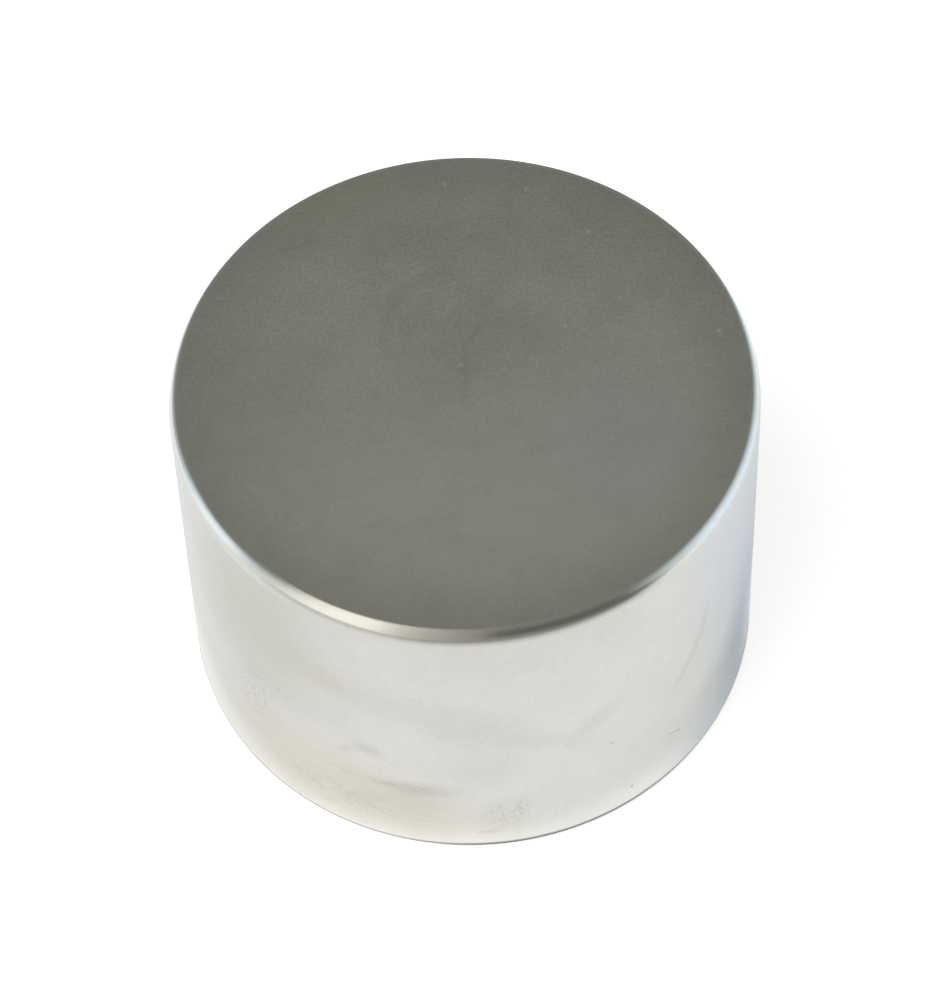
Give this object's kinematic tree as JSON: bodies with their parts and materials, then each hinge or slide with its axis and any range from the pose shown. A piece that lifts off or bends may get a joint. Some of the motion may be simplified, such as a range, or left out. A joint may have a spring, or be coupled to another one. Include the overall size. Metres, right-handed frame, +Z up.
{
  "type": "cylinder magnet",
  "caption": "Short solid cylinder magnet with flat pole faces, a ground wall and rounded edges, nickel plated, standing on one pole face.",
  "frame": {"origin": "middle of the pole face that the magnet stands on", "axes": "+Z up along the cylinder's axis, towards the upper pole face; X and Y are free, because the part is round"},
  "size_m": [0.045, 0.045, 0.0315],
  "materials": {
    "nickel_plate": "satin nickel plating"
  },
  "bodies": {
    "root": {"magnet": "nickel_plate"}
  },
  "joints": []
}
